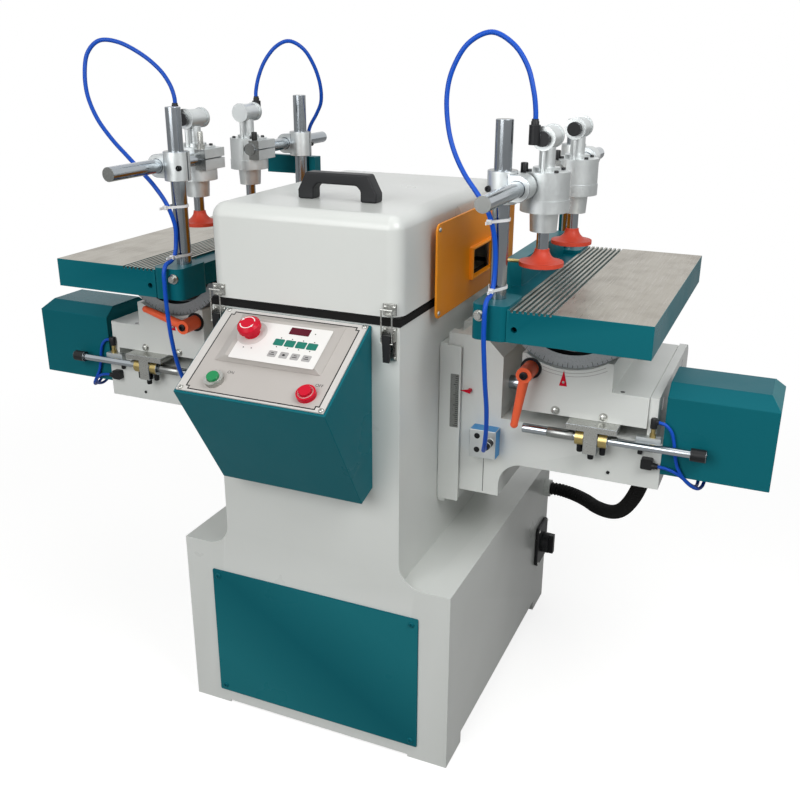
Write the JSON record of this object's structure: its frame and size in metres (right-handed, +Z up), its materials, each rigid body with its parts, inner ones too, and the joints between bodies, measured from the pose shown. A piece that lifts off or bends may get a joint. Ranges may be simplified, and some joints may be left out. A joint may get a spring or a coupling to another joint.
{
  "type": "tenoning machine",
  "caption": "Floor-standing tenoning machine: white pedestal with hinged cutter hood, sloped console, and a clamping table with air clamps on each side",
  "frame": {"origin": "on the floor under the middle of the pedestal, the centre of its four anchor holes", "axes": "+X to the operator's right, +Y away from the operator, +Z up"},
  "size_m": [1.534, 0.8927, 1.309],
  "materials": {
    "white_paint": "smooth white enamel on sheet and castings",
    "teal_paint": "gloss teal enamel",
    "control_plate": "satin grey plate",
    "bright_steel": "bright turned steel",
    "bearing_iron": "grey painted casting",
    "tool_steel": "dark tool steel",
    "black_rubber": "matt black rubber",
    "black_plastic": "moulded black plastic",
    "orange_paint": "orange enamel",
    "green_plastic": "moulded green cap",
    "red_plastic": "moulded red plastic",
    "chrome_steel": "hard chromed bar",
    "cast_aluminium": "bead-blasted cast aluminium",
    "grey_casting": "machined grey casting",
    "blue_tube": "blue polyurethane air tube"
  },
  "bodies": {
    "frame": {"base_cabinet": "white_paint", "access_panel": "teal_paint", "console_box": "teal_paint", "console_plate": "control_plate", "control_unit": "control_plate", "hood_seal": "black_rubber", "hood_hinges": "bright_steel", "spindle_housing": "bearing_iron", "drive_motor": "bearing_iron", "drive_belt": "black_rubber", "power_switch_plate": "black_plastic", "knee_slideways": "white_paint", "latch_plates": "bright_steel", "motor_conduit": "black_plastic"},
    "spindle": {"spindle_shaft": "bright_steel", "cutter_heads": "tool_steel"},
    "motor_rotor": {"motor_pulley": "bright_steel"},
    "hood": {"hood_shell": "white_paint", "hood_handle": "black_plastic", "side_guards": "orange_paint", "latch_keepers": "bright_steel"},
    "left_latch_lever": {"left_latch_lever": "black_plastic"},
    "left_latch_bail": {"left_latch_bail": "bright_steel"},
    "right_latch_lever": {"right_latch_lever": "black_plastic"},
    "right_latch_bail": {"right_latch_bail": "bright_steel"},
    "start_button": {"start_button": "green_plastic"},
    "stop_button": {"stop_button": "red_plastic"},
    "emergency_button": {"emergency_button": "red_plastic"},
    "power_switch_knob": {"power_switch_knob": "black_plastic"},
    "left_knee": {"left_knee": "white_paint", "left_guide_rods": "chrome_steel", "left_drive_cover": "teal_paint", "left_valve_block": "cast_aluminium"},
    "left_saddle": {"left_saddle": "white_paint", "left_stop_rod": "bright_steel"},
    "left_clamp_lever": {"left_clamp_lever": "orange_paint"},
    "left_table": {"left_table": "teal_paint", "left_turntable": "grey_casting", "left_clamp_stands": "chrome_steel", "left_front_tube": "blue_tube", "left_rear_tube": "blue_tube"},
    "left_front_clamp": {"left_front_clamp": "cast_aluminium"},
    "left_front_foot": {"left_front_foot": "red_plastic"},
    "left_rear_clamp": {"left_rear_clamp": "cast_aluminium"},
    "left_rear_foot": {"left_rear_foot": "red_plastic"},
    "right_knee": {"right_knee": "white_paint", "right_guide_rods": "chrome_steel", "right_drive_cover": "teal_paint", "right_valve_block": "cast_aluminium"},
    "right_saddle": {"right_saddle": "white_paint", "right_stop_rod": "bright_steel"},
    "right_clamp_lever": {"right_clamp_lever": "orange_paint"},
    "right_table": {"right_table": "teal_paint", "right_turntable": "grey_casting", "right_clamp_stands": "chrome_steel", "right_front_tube": "blue_tube"},
    "right_front_clamp": {"right_front_clamp": "cast_aluminium"},
    "right_front_foot": {"right_front_foot": "red_plastic"},
    "right_rear_clamp": {"right_rear_clamp": "cast_aluminium"},
    "right_rear_foot": {"right_rear_foot": "red_plastic"}
  },
  "joints": [
    {"name": "hood_hinge", "type": "hinge", "parent": "frame", "child": "hood", "pos_m": [0, 0.19, 0.868], "axis": [-1, 0, 0], "range_deg": [0, 75]},
    {"name": "spindle_spin", "type": "hinge", "parent": "frame", "child": "spindle", "pos_m": [0, 0, 0.905], "axis": [1, 0, 0], "continuous": true},
    {"name": "motor_spin", "type": "hinge", "parent": "frame", "child": "motor_rotor", "pos_m": [0, 0, 0.2], "axis": [1, 0, 0], "continuous": true},
    {"name": "left_latch_open", "type": "hinge", "parent": "frame", "child": "left_latch_lever", "pos_m": [-0.163, -0.343, 0.842], "axis": [-1, 0, 0], "range_deg": [0, 90]},
    {"name": "left_bail_swing", "type": "hinge", "parent": "left_latch_lever", "child": "left_latch_bail", "pos_m": [-0.163, -0.349, 0.832], "axis": [-1, 0, 0], "range_deg": [-90, 0]},
    {"name": "right_latch_open", "type": "hinge", "parent": "frame", "child": "right_latch_lever", "pos_m": [0.163, -0.343, 0.842], "axis": [-1, 0, 0], "range_deg": [0, 90]},
    {"name": "right_bail_swing", "type": "hinge", "parent": "right_latch_lever", "child": "right_latch_bail", "pos_m": [0.163, -0.349, 0.832], "axis": [-1, 0, 0], "range_deg": [-90, 0]},
    {"name": "start_press", "type": "slide", "parent": "frame", "child": "start_button", "axis": [0, 0.5075, -0.8616], "range_m": [0, 0.003], "stiffness_N_per_m": 600},
    {"name": "stop_press", "type": "slide", "parent": "frame", "child": "stop_button", "axis": [0, 0.5075, -0.8616], "range_m": [0, 0.003], "stiffness_N_per_m": 600},
    {"name": "emergency_press", "type": "slide", "parent": "frame", "child": "emergency_button", "axis": [0, 0.5075, -0.8616], "range_m": [0, 0.006], "stiffness_N_per_m": 800},
    {"name": "power_switch_turn", "type": "hinge", "parent": "frame", "child": "power_switch_knob", "pos_m": [0.288, 0.277, 0.178], "axis": [1, 0, 0], "range_deg": [0, 90]},
    {"name": "left_knee_lift", "type": "slide", "parent": "frame", "child": "left_knee", "axis": [0, 0, 1], "range_m": [-0.04, 0.02]},
    {"name": "left_saddle_feed", "type": "slide", "parent": "left_knee", "child": "left_saddle", "axis": [1, 0, 0], "range_m": [0, 0.025], "deforming": ["left_front_tube"]},
    {"name": "left_table_tilt", "type": "hinge", "parent": "left_saddle", "child": "left_table", "pos_m": [-0.414, 0, 0.892], "axis": [0, -1, 0], "range_deg": [-10, 10], "deforming": ["left_front_tube"]},
    {"name": "left_clamp_lever_turn", "type": "hinge", "parent": "left_saddle", "child": "left_clamp_lever", "pos_m": [-0.352, -0.15, 0.756], "axis": [0, 1, 0], "range_deg": [-50, 15]},
    {"name": "left_front_arm_slide", "type": "slide", "parent": "left_table", "child": "left_front_clamp", "axis": [0, 1, 0], "range_m": [-0.06, 0.04], "deforming": ["left_front_tube"]},
    {"name": "left_front_foot_press", "type": "slide", "parent": "left_front_clamp", "child": "left_front_foot", "axis": [0, 0, -1], "range_m": [-0.02, 0.048]},
    {"name": "left_rear_arm_slide", "type": "slide", "parent": "left_table", "child": "left_rear_clamp", "axis": [0, 1, 0], "range_m": [-0.03, 0.06], "deforming": ["left_rear_tube"]},
    {"name": "left_rear_foot_press", "type": "slide", "parent": "left_rear_clamp", "child": "left_rear_foot", "axis": [0, 0, -1], "range_m": [-0.02, 0.048]},
    {"name": "right_knee_lift", "type": "slide", "parent": "frame", "child": "right_knee", "axis": [0, 0, 1], "range_m": [-0.04, 0.02], "deforming": ["motor_conduit"]},
    {"name": "right_saddle_feed", "type": "slide", "parent": "right_knee", "child": "right_saddle", "axis": [-1, 0, 0], "range_m": [0, 0.025], "deforming": ["right_front_tube"]},
    {"name": "right_table_tilt", "type": "hinge", "parent": "right_saddle", "child": "right_table", "pos_m": [0.414, 0, 0.892], "axis": [0, 1, 0], "range_deg": [-10, 10], "deforming": ["right_front_tube"]},
    {"name": "right_clamp_lever_turn", "type": "hinge", "parent": "right_saddle", "child": "right_clamp_lever", "pos_m": [0.352, -0.15, 0.756], "axis": [0, 1, 0], "range_deg": [-30, 60]},
    {"name": "right_front_arm_slide", "type": "slide", "parent": "right_table", "child": "right_front_clamp", "axis": [0, 1, 0], "range_m": [0, 0.05], "deforming": ["right_front_tube"]},
    {"name": "right_front_foot_press", "type": "slide", "parent": "right_front_clamp", "child": "right_front_foot", "axis": [0, 0, -1], "range_m": [-0.02, 0.048]},
    {"name": "right_rear_arm_slide", "type": "slide", "parent": "right_table", "child": "right_rear_clamp", "axis": [0, 1, 0], "range_m": [-0.03, 0.06]},
    {"name": "right_rear_foot_press", "type": "slide", "parent": "right_rear_clamp", "child": "right_rear_foot", "axis": [0, 0, -1], "range_m": [-0.02, 0.048]}
  ],
  "couplings": [
    {"joint": "motor_spin", "follows": "spindle_spin", "ratio": 1},
    {"joint": "left_bail_swing", "follows": "left_latch_open", "ratio": -1},
    {"joint": "right_bail_swing", "follows": "right_latch_open", "ratio": -1}
  ]
}
